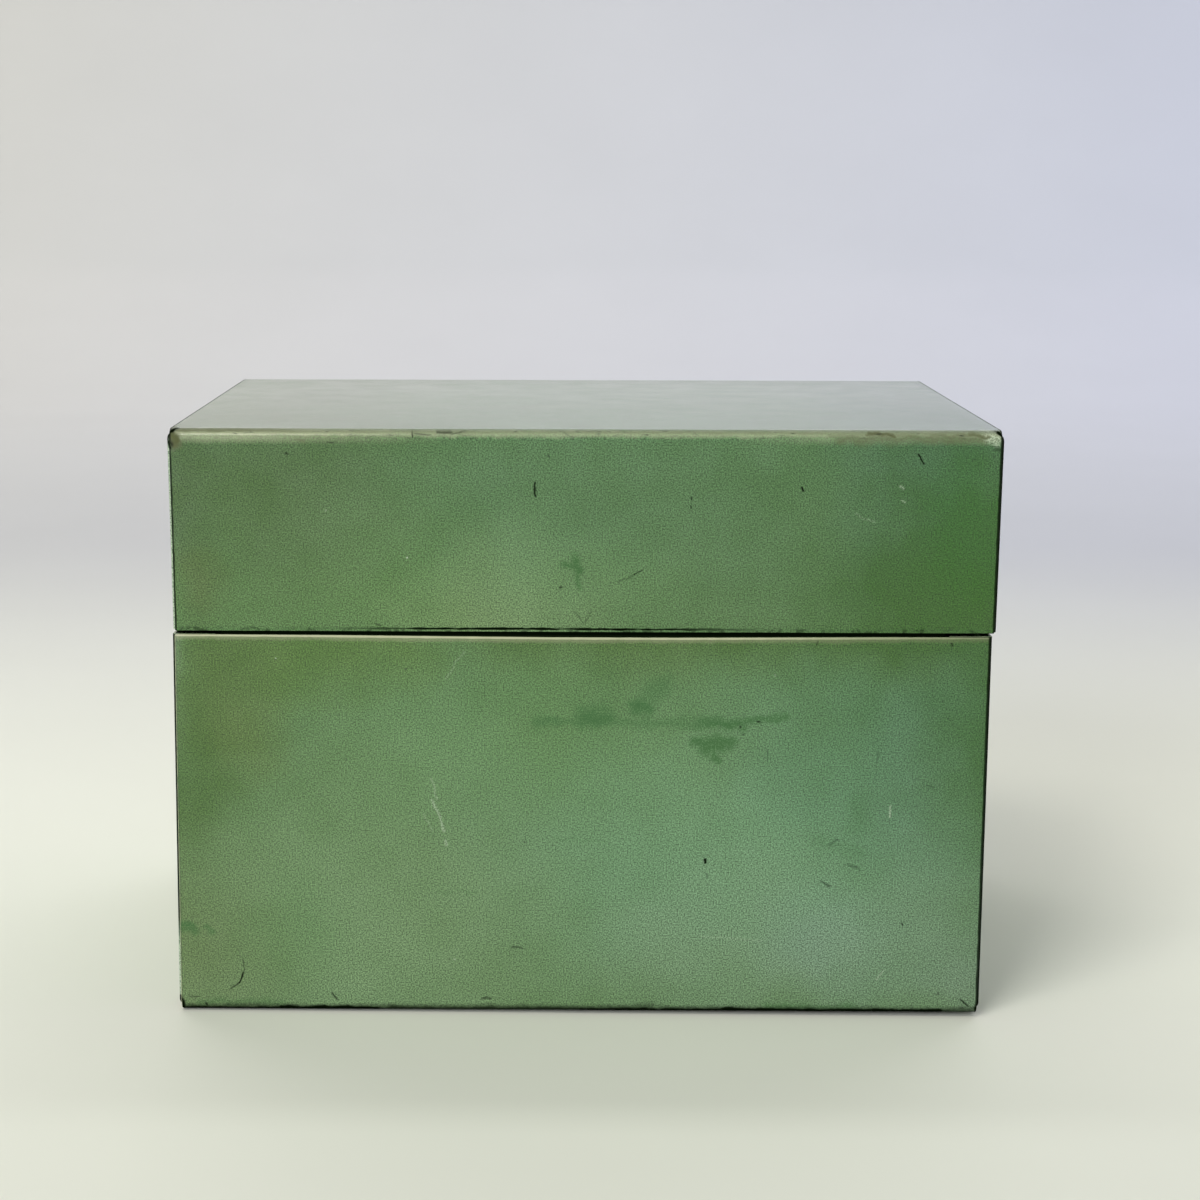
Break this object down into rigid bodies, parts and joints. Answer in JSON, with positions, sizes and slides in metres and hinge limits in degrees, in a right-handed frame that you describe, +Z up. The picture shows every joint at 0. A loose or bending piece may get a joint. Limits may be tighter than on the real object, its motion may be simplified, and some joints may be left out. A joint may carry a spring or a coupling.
{
  "type": "card file box",
  "caption": "Enamelled sheet-steel recipe box for 5 by 3 inch cards, with a deep base and a shallow lid that swings on a long rear hinge.",
  "frame": {"origin": "middle of the base's underside, on the surface that the box stands on", "axes": "+X to the right along the front, +Y from the front to the hinge at the back, +Z up; the front faces -Y"},
  "size_m": [0.1341, 0.0971, 0.0978],
  "materials": {
    "green_enamel": "satin baked enamel, sage green, mottled and worn through at the edges",
    "pin_steel": "drawn steel wire, dulled"
  },
  "bodies": {
    "base": {"base_wrap": "green_enamel", "base_end_left": "green_enamel", "base_end_right": "green_enamel", "lip_front": "green_enamel", "lip_left": "green_enamel", "lip_right": "green_enamel", "hinge_leaf_base": "green_enamel", "hinge_pin": "pin_steel"},
    "lid": {"lid_wrap": "green_enamel", "lid_end_left": "green_enamel", "lid_end_right": "green_enamel", "hinge_leaf_lid": "green_enamel"}
  },
  "joints": [
    {"name": "lid_hinge", "type": "hinge", "parent": "base", "child": "lid", "pos_m": [0, 0.04793, 0.0645], "axis": [-1, 0, 0], "range_deg": [0, 180]}
  ]
}
